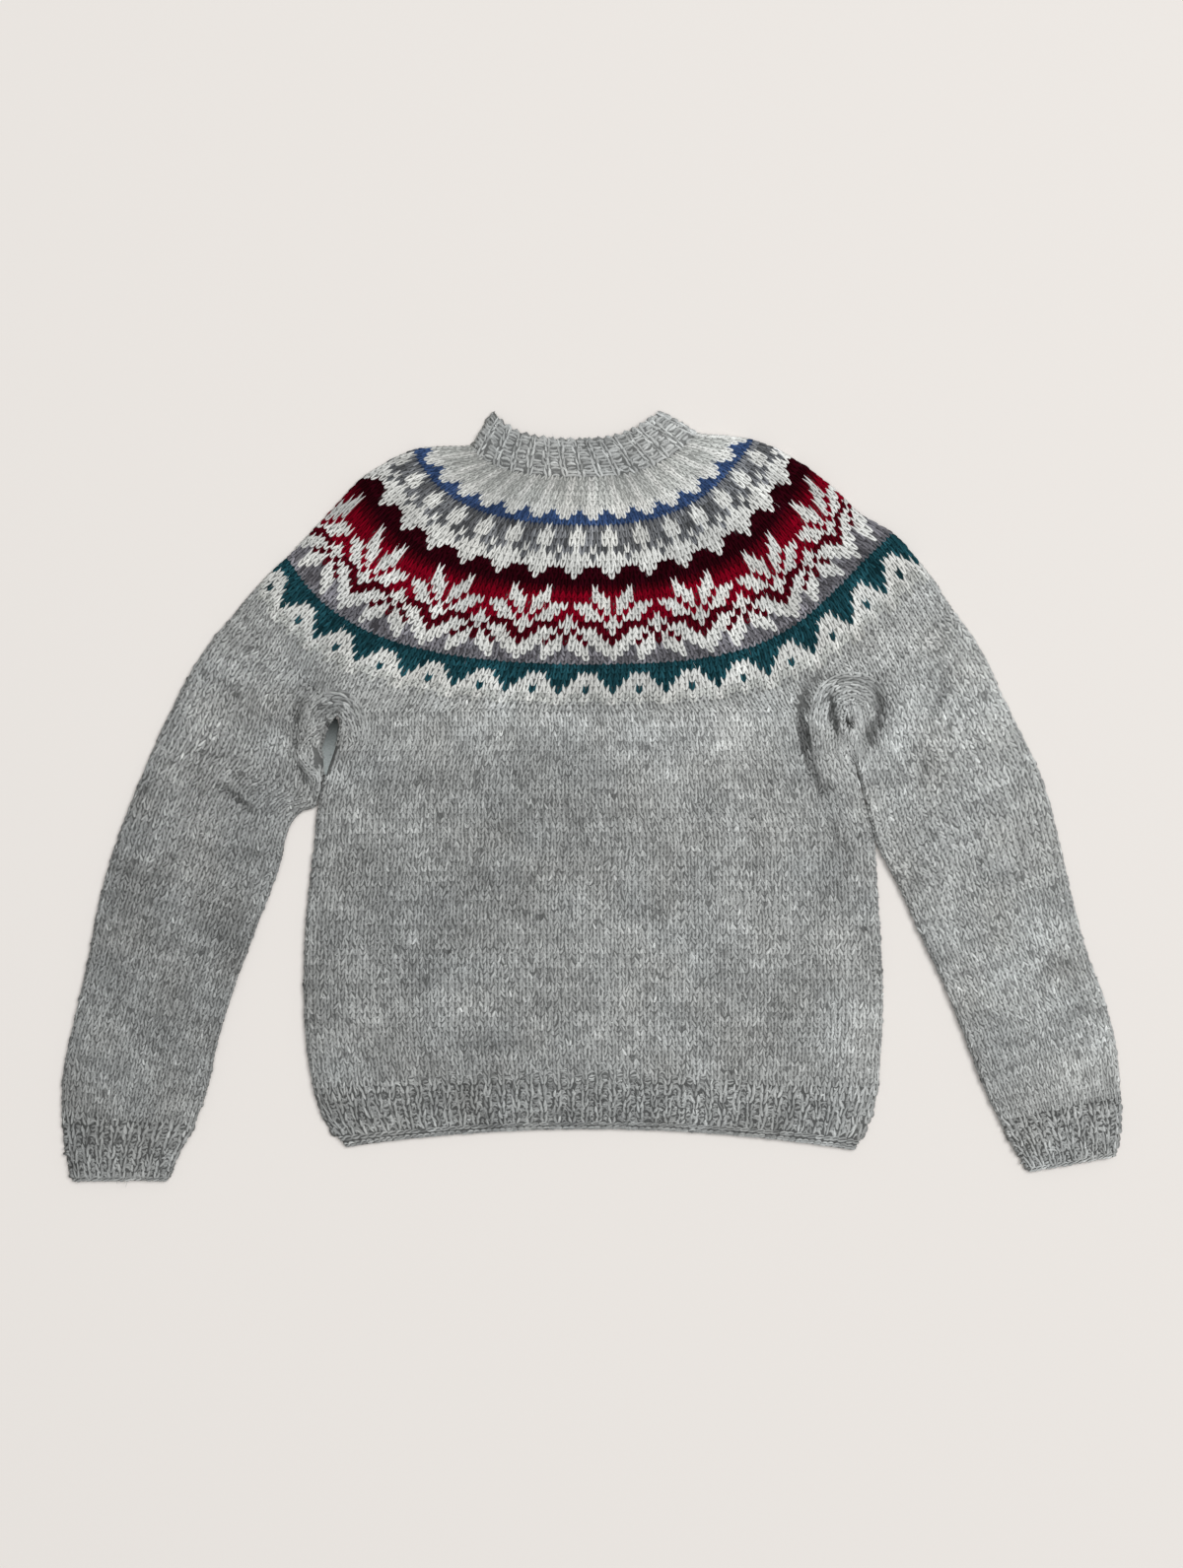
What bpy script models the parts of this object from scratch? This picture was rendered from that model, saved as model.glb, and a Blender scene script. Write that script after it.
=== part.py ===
"""A hand-knit round-yoke wool sweater, laid flat with its front up.

The sweater is knitted in the round, so every piece is a tube: the body, two sleeves, the
yoke that joins them, and the ribbed hem, cuffs and collar. Laid flat, each tube is a front
layer on a back layer with a round fold along each side. The back lies on the surface, Z = 0.

Frame: metres, +X to the garment's right side as seen from above, +Y to the neck, +Z up.
The origin is under the middle of the garment's outline, on the surface.
"""

import math

import bmesh
import bpy
import numpy as np

# ---------------------------------------------------------------------------
# Driving dimensions, in metres
# ---------------------------------------------------------------------------

FABRIC = 0.0035  # thickness of one knitted layer
LAID_HEIGHT = 0.0096  # two layers and the slack between them
RIB_HEIGHT = 0.0012  # how far a rib's knit column stands above its purl column
SEAM = 0.0003  # gap between pieces where they are grafted or picked up
CREASE_CLEARANCE = 0.0010  # between the body's side fold and a sleeve's inner fold

FOLD_STEPS = 3  # facets in a quarter of a side fold
PATH_SAMPLES = 120  # samples on half a row of knitting
ROW_STEPS = 2  # mesh rows from one named row of the tables to the next

# Width of one rib, a knit and a purl column, by piece
RIB_PITCH = {"hem": 0.0123, "cuff": 0.0122, "collar": 0.0112}
# Height across one rib, as shares of its pitch and of RIB_HEIGHT
RIB_PROFILE = ((0.0, 0.0), (0.28, 0.75), (0.5, 1.0), (0.72, 0.75))

# ---------------------------------------------------------------------------
# Outlines, in metres: one line for each row of knitting named here
# ---------------------------------------------------------------------------

# The body's straight rows, from the underarms down: left fold, right fold, and how far the
# middle hangs below them
# left_x, left_y, right_x, right_y, sag
BODY_ROWS = (
    (-0.227, 0.076, 0.225, 0.076, 0.000),
    (-0.230, 0.052, 0.232, 0.051, 0.000),
    (-0.239, 0.025, 0.239, 0.027, 0.000),
    (-0.247, -0.008, 0.248, -0.008, 0.000),
    (-0.250, -0.042, 0.256, -0.040, -0.001),
    (-0.255, -0.082, 0.259, -0.082, -0.001),
    (-0.259, -0.130, 0.262, -0.130, -0.002),
    (-0.260, -0.175, 0.264, -0.175, -0.002),
    (-0.258, -0.220, 0.263, -0.220, -0.003),
    (-0.252, -0.264, 0.260, -0.264, -0.004),
)

# The hem's rows, pulled in by the rib and arched at the middle
HEM_ROWS = (
    BODY_ROWS[-1],
    (-0.241, -0.294, 0.251, -0.296, -0.010),
    (-0.222, -0.318, 0.239, -0.321, -0.018),
)

# The sleeves' rows, from the yoke to the cuff
# outer_x, outer_y, inner_x, inner_y
SLEEVE_LEFT_ROWS = (
    (-0.324, 0.163, -0.227, 0.076),
    (-0.338, 0.147, -0.237, 0.060),
    (-0.352, 0.128, -0.242, 0.041),
    (-0.366, 0.105, -0.240, 0.025),
    (-0.381, 0.075, -0.248, -0.008),
    (-0.396, 0.043, -0.261, -0.014),
    (-0.408, 0.014, -0.273, -0.031),
    (-0.427, -0.035, -0.283, -0.070),
    (-0.444, -0.091, -0.305, -0.128),
    (-0.454, -0.142, -0.322, -0.174),
    (-0.466, -0.196, -0.337, -0.223),
    (-0.477, -0.247, -0.346, -0.264),
    (-0.479, -0.289, -0.358, -0.298),
)
SLEEVE_RIGHT_ROWS = (
    (0.328, 0.167, 0.225, 0.076),
    (0.342, 0.149, 0.232, 0.051),
    (0.358, 0.122, 0.239, 0.027),
    (0.376, 0.083, 0.248, -0.008),
    (0.397, 0.041, 0.256, -0.040),
    (0.412, 0.004, 0.268, -0.065),
    (0.423, -0.038, 0.281, -0.090),
    (0.434, -0.087, 0.300, -0.132),
    (0.447, -0.136, 0.320, -0.175),
    (0.464, -0.183, 0.337, -0.218),
    (0.475, -0.227, 0.352, -0.258),
    (0.479, -0.272, 0.368, -0.293),
)
CUFF_LEFT_ROWS = (
    SLEEVE_LEFT_ROWS[-1],
    (-0.476, -0.317, -0.371, -0.322),
    (-0.470, -0.348, -0.382, -0.348),
)
CUFF_RIGHT_ROWS = (
    SLEEVE_RIGHT_ROWS[-1],
    (0.479, -0.298, 0.380, -0.316),
    (0.475, -0.326, 0.395, -0.340),
)

# The yoke's rounds: left shoulder fold, lowest point at the middle front, right shoulder fold
# left_x, left_y, middle_x, middle_y, right_x, right_y
YOKE_ROUNDS = (
    (-0.306, 0.185, -0.001, 0.082, 0.308, 0.198),
    (-0.292, 0.200, -0.001, 0.100, 0.291, 0.219),
    (-0.275, 0.216, 0.000, 0.119, 0.273, 0.238),
    (-0.258, 0.234, 0.000, 0.136, 0.243, 0.256),
    (-0.236, 0.257, 0.000, 0.169, 0.221, 0.277),
    (-0.205, 0.289, 0.000, 0.196, 0.190, 0.301),
    (-0.161, 0.313, 0.000, 0.245, 0.147, 0.322),
    (-0.108, 0.317, -0.008, 0.289, 0.095, 0.328),
)
COLLAR_ROUNDS = (
    YOKE_ROUNDS[-1],
    (-0.099, 0.333, -0.011, 0.305, 0.079, 0.339),
    (-0.088, 0.348, -0.014, 0.322, 0.062, 0.348),
)

# How a round bends from its shoulder fold to its middle, as shares of its half width and drop
# lean, fall, flat
LEFT_BEND = (0.13, 0.63, 0.65)
RIGHT_BEND = (0.21, 0.56, 0.60)

# Fabric bunched at the underarms: soft mounds, and troughs where rise is below zero
# x, y, half_length, half_width, turn in degrees, rise
BUNCHES = (
    (0.235, 0.075, 0.034, 0.030, 90.0, 0.0070),
    (0.205, 0.070, 0.046, 0.009, 97.0, 0.0035),
    (0.218, 0.073, 0.020, 0.005, 98.0, -0.0030),
    (0.192, 0.072, 0.050, 0.006, 93.0, -0.0014),
    (0.280, 0.085, 0.044, 0.014, 75.0, 0.0022),
    (0.252, 0.008, 0.032, 0.012, 105.0, 0.0028),
    (-0.230, 0.088, 0.028, 0.020, 0.0, 0.0060),
    (-0.252, 0.050, 0.020, 0.009, 40.0, 0.0040),
    (-0.256, 0.026, 0.020, 0.008, -54.0, 0.0035),
    (-0.300, 0.060, 0.050, 0.016, 50.0, -0.0010),
)

# Wool colours, linear RGB, and roughness
HEATHER_GREY = (0.30, 0.31, 0.31)
RIB_GREY = (0.27, 0.28, 0.28)
YOKE_RED = (0.20, 0.01, 0.03)
WOOL_ROUGHNESS = 0.92

# ---------------------------------------------------------------------------
# Rows of knitting as paths in plan
# ---------------------------------------------------------------------------


def by_length(points):
    """A function from the distance along a path to the place there, and its length."""
    points = np.asarray(points, float)
    steps = np.linalg.norm(np.diff(points, axis=0), axis=1)
    travelled = np.concatenate(([0.0], np.cumsum(steps)))

    def place(distance):
        return np.array([np.interp(distance, travelled, points[:, k]) for k in (0, 1)])

    return place, travelled[-1]


def evened(points):
    """The same path with its samples evenly spaced."""
    place, length = by_length(points)
    return place(np.linspace(0.0, length, 2 * PATH_SAMPLES + 1)).T


def straight_row(row):
    """A body or hem row: a chord between the side folds, with a parabola's sag."""
    left_x, left_y, right_x, right_y, sag = row
    share = np.linspace(0.0, 1.0, PATH_SAMPLES)
    x = left_x + (right_x - left_x) * share
    y = left_y + (right_y - left_y) * share - sag * 4.0 * share * (1.0 - share)
    return evened(np.column_stack((x, y)))


def sleeve_row(row, clearance):
    """A sleeve or cuff row, from left to right, clear of the body's side fold."""
    outer_x, outer_y, inner_x, inner_y = row
    inner_x += math.copysign(clearance, outer_x)
    ends = sorted(((outer_x, outer_y), (inner_x, inner_y)))
    return straight_row((*ends[0], *ends[1], 0.0))


def half_round(end, middle, bend):
    """A cubic curve from a shoulder fold to the middle, level where it arrives."""
    lean, fall, flat = bend
    end, middle = np.array(end), np.array(middle)
    first = end + (middle - end) * (lean, fall)
    second = middle + (end - middle) * (flat, 0.0)
    t = np.linspace(0.0, 1.0, PATH_SAMPLES)[:, None]
    s = 1.0 - t
    return s**3 * end + 3 * s * s * t * first + 3 * s * t * t * second + t**3 * middle


def yoke_round(row):
    """A yoke or collar round, from the left shoulder fold to the right one."""
    left = half_round(row[0:2], row[2:4], LEFT_BEND)
    right = half_round(row[4:6], row[2:4], RIGHT_BEND)
    return evened(np.concatenate((left, right[-2::-1])))


def join_round():
    """Where the yoke takes up the left sleeve, the body and the right sleeve."""
    left_underarm, right_underarm = BODY_ROWS[0][0:2], BODY_ROWS[0][2:4]
    left_shoulder, right_shoulder = SLEEVE_LEFT_ROWS[0][0:2], SLEEVE_RIGHT_ROWS[0][0:2]
    return evened((left_shoulder, left_underarm, right_underarm, right_shoulder))


def rows_between(paths, steps):
    """The rows with smooth ones added between them, by a Catmull-Rom curve along each wale."""
    ends = [2 * paths[0] - paths[1]], [2 * paths[-1] - paths[-2]]
    known = ends[0] + list(paths) + ends[1]
    rows = []
    for k in range(1, len(known) - 2):
        before, here, there, beyond = known[k - 1 : k + 3]
        for step in range(steps):
            t = step / steps
            rows.append(
                here
                + 0.5 * t * (there - before)
                + t * t * (before - 2.5 * here + 2.0 * there - 0.5 * beyond)
                + t**3 * (1.5 * (here - there) + 0.5 * (beyond - before))
            )
    return rows + [paths[-1]]


def moved_up(path, distance):
    """The path shifted along its own normal, towards the neck."""
    ahead = np.gradient(path, axis=0)
    ahead /= np.linalg.norm(ahead, axis=1)[:, None]
    return path + distance * np.column_stack((-ahead[:, 1], ahead[:, 0]))


def knitted_rows(paths):
    """A piece's rows, with half a seam's gap taken off its first and its last row."""
    towards = 1.0 if paths[-1][:, 1].mean() > paths[0][:, 1].mean() else -1.0
    rows = rows_between(paths, ROW_STEPS)
    rows[0] = moved_up(rows[0], towards * SEAM / 2)
    rows[-1] = moved_up(rows[-1], -towards * SEAM / 2)
    return rows


# ---------------------------------------------------------------------------
# Heights
# ---------------------------------------------------------------------------


def bunch_height(x, y):
    """How far the fabric is bunched up at this place of the garment."""
    total = 0.0
    for centre_x, centre_y, half_length, half_width, turn, rise in BUNCHES:
        cos, sin = math.cos(math.radians(turn)), math.sin(math.radians(turn))
        along = ((x - centre_x) * cos + (y - centre_y) * sin) / half_length
        across = ((y - centre_y) * cos - (x - centre_x) * sin) / half_width
        total = total + rise * np.exp(-2.0 * (along**2 + across**2))
    return total


def rib_columns(count):
    """Places and heights across a front layer of this many ribs, as shares of each."""
    places, heights = [], []
    for rib in range(count):
        for place, height in RIB_PROFILE:
            places.append((rib + place) / count)
            heights.append(height)
    return np.array(places + [1.0]), np.array(heights + [0.0])


def plain_columns(count, closer=(), reach=0.08, gain=3.0):
    """Places across a layer, closer together around each share in closer."""
    fine = np.linspace(0.0, 1.0, 401)
    density = np.ones_like(fine)
    for share in closer:
        density += gain * np.exp(-(((fine - share) / reach) ** 2))
    run = np.concatenate(([0.0], np.cumsum((density[1:] + density[:-1]) / 2)))
    places = np.interp(np.linspace(0.0, run[-1], count), run, fine)
    return places, np.zeros(count)


# ---------------------------------------------------------------------------
# A tube laid flat, as one closed solid
# ---------------------------------------------------------------------------


def layer_ring(path, front, back, inset, half_height, outside):
    """One closed loop of points around a tube, at a depth of inset inside its outer face.

    It runs up the left fold, across the front, down the right fold and back underneath.
    front holds the places and rib heights across the front layer, and back the places
    across the back layer, as shares of the flat stretch between the folds.
    """
    place, length = by_length(path)
    middle_z = LAID_HEIGHT / 2
    rise = np.linspace(0.0, math.pi / 2, FOLD_STEPS + 1)[:-1]
    run = inset + half_height * (1.0 - np.cos(rise))
    lift = half_height * np.sin(rise)
    flat_start = inset + half_height
    flat_length = length - 2 * flat_start
    front_places, ribs = front

    distances = np.concatenate(
        (
            run,
            flat_start + front_places * flat_length,
            length - run[::-1],
            length - run[1:],
            flat_start + back[::-1] * flat_length,
            run[:0:-1],
        )
    )
    front_lift = np.full(len(front_places), half_height)
    back_lift = np.full(len(back), -half_height)
    lifts = np.concatenate((lift, front_lift, lift[::-1], -lift[1:], back_lift, -lift[:0:-1]))
    x, y = place(distances)
    z = middle_z + lifts
    if outside:
        z += bunch_height(x, y) * np.clip(lifts / half_height, 0.0, 1.0)
        z[len(run) : len(run) + len(ribs)] += RIB_HEIGHT * ribs
    return np.column_stack((x, y, z))


def tube_mesh(name, paths, front, back):
    """The wall between a tube's outer and inner faces, open where the tube is open."""
    inner_half = LAID_HEIGHT / 2 - FABRIC
    outer = [layer_ring(p, front, back, 0.0, LAID_HEIGHT / 2, True) for p in paths]
    inner = [layer_ring(p, front, back, FABRIC, inner_half, False) for p in paths]
    around, rows = len(outer[0]), len(paths)
    vertices = np.concatenate(outer + inner).tolist()
    to_inner = rows * around
    faces = []
    for k in range(around):
        after = (k + 1) % around
        for row in range(rows - 1):
            here, beside = row * around + k, row * around + after
            face = (here, beside, beside + around, here + around)
            faces.append(face)
            faces.append(tuple(corner + to_inner for corner in face))
        for row in (0, rows - 1):
            here, beside = row * around + k, row * around + after
            faces.append((here, beside, beside + to_inner, here + to_inner))
    mesh = bpy.data.meshes.new(name)
    mesh.from_pydata(vertices, [], faces)
    shell = bmesh.new()
    shell.from_mesh(mesh)
    bmesh.ops.recalc_face_normals(shell, faces=shell.faces)
    shell.to_mesh(mesh)
    shell.free()
    return mesh


def wool(name, colour):
    """A plain matt wool."""
    material = bpy.data.materials.new(name)
    material.use_nodes = True
    shader = material.node_tree.nodes["Principled BSDF"]
    shader.inputs["Base Color"].default_value = (*colour, 1.0)
    shader.inputs["Roughness"].default_value = WOOL_ROUGHNESS
    shader.inputs["Metallic"].default_value = 0.0
    return material


def add_tube(name, paths, front, back_count, material):
    """One named piece of the garment."""
    back = np.linspace(0.0, 1.0, back_count)
    mesh = tube_mesh(name, paths, front, back)
    mesh.materials.append(material)
    mesh.shade_smooth()
    mesh.set_sharp_from_angle(angle=math.radians(35.0))
    piece = bpy.data.objects.new(name, mesh)
    bpy.context.scene.collection.objects.link(piece)
    return piece


# ---------------------------------------------------------------------------
# The garment
# ---------------------------------------------------------------------------


def ribs_across(row_path, pitch):
    """How many ribs fit across a row's front."""
    _, length = by_length(row_path)
    return round(length / pitch)


def build():
    for old in list(bpy.data.objects):
        bpy.data.objects.remove(old, do_unlink=True)
    heather = wool("heather_grey_wool", HEATHER_GREY)
    rib = wool("ribbed_grey_wool", RIB_GREY)
    pattern = wool("patterned_yoke_wool", YOKE_RED)

    body = [straight_row(row) for row in BODY_ROWS]
    add_tube("body", knitted_rows(body), plain_columns(30, (0.0, 1.0)), 9, heather)
    hem = [straight_row(row) for row in HEM_ROWS]
    hem_ribs = rib_columns(ribs_across(hem[0], RIB_PITCH["hem"]))
    add_tube("hem_rib", knitted_rows(hem), hem_ribs, 13, rib)

    sides = (
        ("left", SLEEVE_LEFT_ROWS, CUFF_LEFT_ROWS, 1.0),
        ("right", SLEEVE_RIGHT_ROWS, CUFF_RIGHT_ROWS, 0.0),
    )
    for side, sleeve_rows, cuff_rows, inner_share in sides:
        sleeve = [sleeve_row(row, CREASE_CLEARANCE) for row in sleeve_rows]
        columns = plain_columns(16, (inner_share,), reach=0.2, gain=1.5)
        add_tube(f"sleeve_{side}", knitted_rows(sleeve), columns, 6, heather)
        cuff = [sleeve_row(row, CREASE_CLEARANCE) for row in cuff_rows]
        cuff_ribs = rib_columns(ribs_across(cuff[0], RIB_PITCH["cuff"]))
        add_tube(f"cuff_{side}", knitted_rows(cuff), cuff_ribs, 6, rib)

    rounds = [join_round()] + [yoke_round(row) for row in YOKE_ROUNDS]
    add_tube("yoke", knitted_rows(rounds), plain_columns(44, (0.18, 0.82)), 25, pattern)
    collar = [yoke_round(row) for row in COLLAR_ROUNDS]
    collar_ribs = rib_columns(ribs_across(collar[-1], RIB_PITCH["collar"]))
    add_tube("collar", knitted_rows(collar), collar_ribs, 13, rib)


build()
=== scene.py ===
"""Scene for a hand-knit round-yoke wool sweater, laid flat with its front up.

Each tube of the sweater is a thin shell of cloth on its solid's form, and its knitting lies on
it stitch by stitch: two legs for a knit stitch, two bows for a purl one. The yoke's colours
come from a chart of its rounds. The frame is that of part.py, in metres.
"""

import copy
import math

import bpy
import numpy as np
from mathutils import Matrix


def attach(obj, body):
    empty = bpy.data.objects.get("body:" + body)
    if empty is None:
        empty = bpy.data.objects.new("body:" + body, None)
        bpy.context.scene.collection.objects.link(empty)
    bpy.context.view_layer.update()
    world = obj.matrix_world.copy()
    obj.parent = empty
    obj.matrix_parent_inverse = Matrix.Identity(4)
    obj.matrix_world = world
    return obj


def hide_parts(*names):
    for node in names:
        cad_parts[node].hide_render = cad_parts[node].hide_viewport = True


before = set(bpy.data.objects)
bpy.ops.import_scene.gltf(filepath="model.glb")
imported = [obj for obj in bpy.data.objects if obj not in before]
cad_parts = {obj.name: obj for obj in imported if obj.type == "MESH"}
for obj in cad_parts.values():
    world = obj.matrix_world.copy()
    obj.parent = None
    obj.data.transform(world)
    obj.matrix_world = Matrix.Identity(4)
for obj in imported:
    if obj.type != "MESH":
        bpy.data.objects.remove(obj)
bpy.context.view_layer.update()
rng = np.random.default_rng(1907)

# ---- Camera, light and floor ----

VIEW_CENTRE = (0.0004, 0.0107)  # what the middle of the picture looks at
VIEW_HEIGHT = 1.4192  # metres seen from the picture's top to its bottom
CAMERA_HEIGHT = 2.6
FOCUS_Z = 0.006  # the height at which VIEW_HEIGHT holds
SENSOR = 36.0  # millimetres

AIR_COLOUR, AIR_STRENGTH = (1.0, 0.985, 0.965, 1.0), 0.24
# place, side and power of square lights, far enough away to light the whole floor alike
LIGHTS = {"window": ((4.6, 2.9, 11.4), 5.0, 800.0), "ceiling": ((0.4, 0.3, 11.6), 9.0, 735.0)}
FLOOR_REACH = 6.0
FLOOR_COLOUR = (0.727, 0.697, 0.668, 1.0)


def add_object(name, data):
    holder = bpy.data.objects.new(name, data)
    bpy.context.scene.collection.objects.link(holder)
    return holder


def add_camera():
    camera = bpy.data.cameras.new("camera")
    camera.sensor_fit = "VERTICAL"
    camera.sensor_height = SENSOR
    camera.lens = SENSOR * CAMERA_HEIGHT / VIEW_HEIGHT
    camera.clip_end = 20.0
    holder = add_object("camera", camera)
    holder.location = (*VIEW_CENTRE, CAMERA_HEIGHT + FOCUS_Z)
    bpy.context.scene.camera = holder


def add_light(name, place, side, power):
    """A square light that faces the middle of the floor."""
    light = bpy.data.lights.new(name, "AREA")
    light.size = side
    light.energy = power
    holder = add_object(name, light)
    holder.location = place
    x, y, z = place
    turn = math.atan2(-y, -x) - math.pi / 2
    holder.rotation_euler = (math.atan2(math.hypot(x, y), z), 0.0, turn)


def add_surroundings():
    world = bpy.data.worlds.new("studio")
    world.use_nodes = True
    background = world.node_tree.nodes["Background"]
    background.inputs["Color"].default_value = AIR_COLOUR
    background.inputs["Strength"].default_value = AIR_STRENGTH
    bpy.context.scene.world = world
    bpy.context.scene.view_settings.view_transform = "Standard"
    for name, (place, side, power) in LIGHTS.items():
        add_light(name, place, side, power)

    mesh = bpy.data.meshes.new("floor")
    corners = ((-1, -1), (1, -1), (1, 1), (-1, 1))
    mesh.from_pydata([(x * FLOOR_REACH, y * FLOOR_REACH, 0.0) for x, y in corners], [], [(0, 1, 2, 3)])
    material = bpy.data.materials.new("pale_floor")
    material.use_nodes = True
    shader = material.node_tree.nodes["Principled BSDF"]
    shader.inputs["Base Color"].default_value = FLOOR_COLOUR
    shader.inputs["Roughness"].default_value = 1.0
    shader.inputs["Specular IOR Level"].default_value = 0.0
    mesh.materials.append(material)
    floor = add_object("floor", mesh)

# ---- Driving dimensions; those of the tubes and of BUNCHES are as in part.py ----

FABRIC = 0.0035
LAID_HEIGHT = 0.0096
CREASE_CLEARANCE = 0.0010
RELIEF = 0.0010  # how far the cloth under the stitches lies below the solid's face
INNER_LOWEST = 0.0043  # the front layer's inner face stays above this
LOWEST = 0.0001  # no stitch lies lower
BAND_OVERLAP = 0.0015  # how far stitches reach in under the edge of a band round an underarm
# the bands lie between these x to either side, and above this y
BANDS_FROM, BANDS_TO, BANDS_ABOVE = 0.17, 0.30, -0.02

STITCH = 0.0061  # width of a stitch
ROW = 0.0044  # height of a row of plain knitting
RIB_ROW = 0.0056
# on each layer of a tube, columns of stitches or ribs
BODY_WALES, SLEEVE_WALES, HEM_RIBS, CUFF_RIBS, COLLAR_RIBS = 82, 23, 41, 9, 14
# width and height, in millimetres, of the cells that the templates of stitches are drawn in
PLAIN_CELL, RIB_CELL, CHART_CELL = ((STITCH * 1e3, height) for height in (ROW * 1e3, RIB_ROW * 1e3, 5.2))

PATH_SAMPLES = 120
ROW_STEPS = 8  # rows of a cloth's surface for each row of its table
EDGE_FALL = 0.24  # rows of the table over which a tube's open end falls


def metres(*rows):
    return tuple(tuple(value / 1000.0 for value in row) for row in rows)


# left_x, left_y, right_x, right_y, sag; all tables of places are in millimetres
BODY_ROWS = metres(
    (-227, 76, 225, 76, 0), (-230, 52, 232, 51, 0), (-239, 25, 239, 27, 0), (-247, -8, 248, -8, 0),
    (-250, -42, 256, -40, -1), (-255, -82, 259, -82, -1), (-259, -130, 262, -130, -2),
    (-260, -175, 264, -175, -2), (-258, -220, 263, -220, -3), (-252, -264, 260, -264, -4),
)
HEM_ROWS = (BODY_ROWS[-1], *metres((-241, -294, 251, -296, -10), (-222, -318, 239, -321, -18)))

# outer_x, outer_y, inner_x, inner_y
SLEEVE_LEFT_ROWS = metres(
    (-324, 163, -227, 76), (-338, 147, -237, 60), (-352, 128, -242, 41), (-366, 105, -240, 25),
    (-381, 75, -248, -8), (-396, 43, -261, -14), (-408, 14, -273, -31), (-427, -35, -283, -70),
    (-444, -91, -305, -128), (-454, -142, -322, -174), (-466, -196, -337, -223),
    (-477, -247, -346, -264), (-479, -289, -358, -298),
)
SLEEVE_RIGHT_ROWS = metres(
    (328, 167, 225, 76), (342, 149, 232, 51), (358, 122, 239, 27), (376, 83, 248, -8),
    (397, 41, 256, -40), (412, 4, 268, -65), (423, -38, 281, -90), (434, -87, 300, -132),
    (447, -136, 320, -175), (464, -183, 337, -218), (475, -227, 352, -258), (479, -272, 368, -293),
)
CUFF_LEFT_ROWS = (SLEEVE_LEFT_ROWS[-1], *metres((-476, -317, -371, -322), (-470, -348, -382, -348)))
CUFF_RIGHT_ROWS = (SLEEVE_RIGHT_ROWS[-1], *metres((479, -298, 380, -316), (475, -326, 395, -340)))

# left_x, left_y, middle_x, middle_y, right_x, right_y
YOKE_ROUNDS = metres(
    (-306, 185, -1, 82, 308, 198), (-292, 200, -1, 100, 291, 219), (-275, 216, 0, 119, 273, 238),
    (-258, 234, 0, 136, 243, 256), (-236, 257, 0, 169, 221, 277), (-205, 289, 0, 196, 190, 301),
    (-161, 313, 0, 245, 147, 322), (-108, 317, -8, 289, 95, 328),
)
COLLAR_ROUNDS = (YOKE_ROUNDS[-1], *metres((-99, 333, -11, 305, 79, 339), (-88, 348, -14, 322, 62, 348)))
# how far a round's half leans and falls at its end, and how far it is flat in the middle
LEFT_BEND, TOP_BEND = (0.13, 0.63, 0.65), (0.21, 0.56, 0.60)
RIGHT_BENDS = (
    (0.32, 0.72, 0.67), (0.32, 0.72, 0.67), (0.33, 0.71, 0.67), (0.14, 0.48, 0.76), (0.14, 0.54, 0.69),
    (0.15, 0.60, 0.62), TOP_BEND, TOP_BEND,
)
# The chart row that starts at each of YOKE_ROUNDS
ROUND_ROWS = (0, 4.1, 8, 12, 18, 23, 31, 41)
# chart rows, and where among YOKE_ROUNDS they lie
ROWS_MEASURED = (0, 3, 4, 5, 6, 7, 8, 9, 10, 12, 18, 23, 31, 41)
ROWS_PLACES = (0, 0.64, 0.97, 1.28, 1.57, 1.79, 2, 2.21, 2.49, 3, 4, 5, 6, 7)


def mounds(*rows):
    return tuple((*(value / 1000.0 for value in row[:-1]), math.radians(row[-1])) for row in rows)


# Soft mounds and troughs: x, y, half_length, half_width, rise, and turn in degrees
BUNCHES = mounds(
    (235, 75, 34, 30, 7, 90), (205, 70, 46, 9, 3.5, 97), (218, 73, 20, 5, -3, 98),
    (192, 72, 50, 6, -1.4, 93), (280, 85, 44, 14, 2.2, 75), (252, 8, 32, 12, 2.8, 105),
    (-230, 88, 28, 20, 6, 0), (-252, 50, 20, 9, 4, 40), (-256, 26, 20, 8, 3.5, -54),
    (-300, 60, 50, 16, -1, 50),
)
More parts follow.
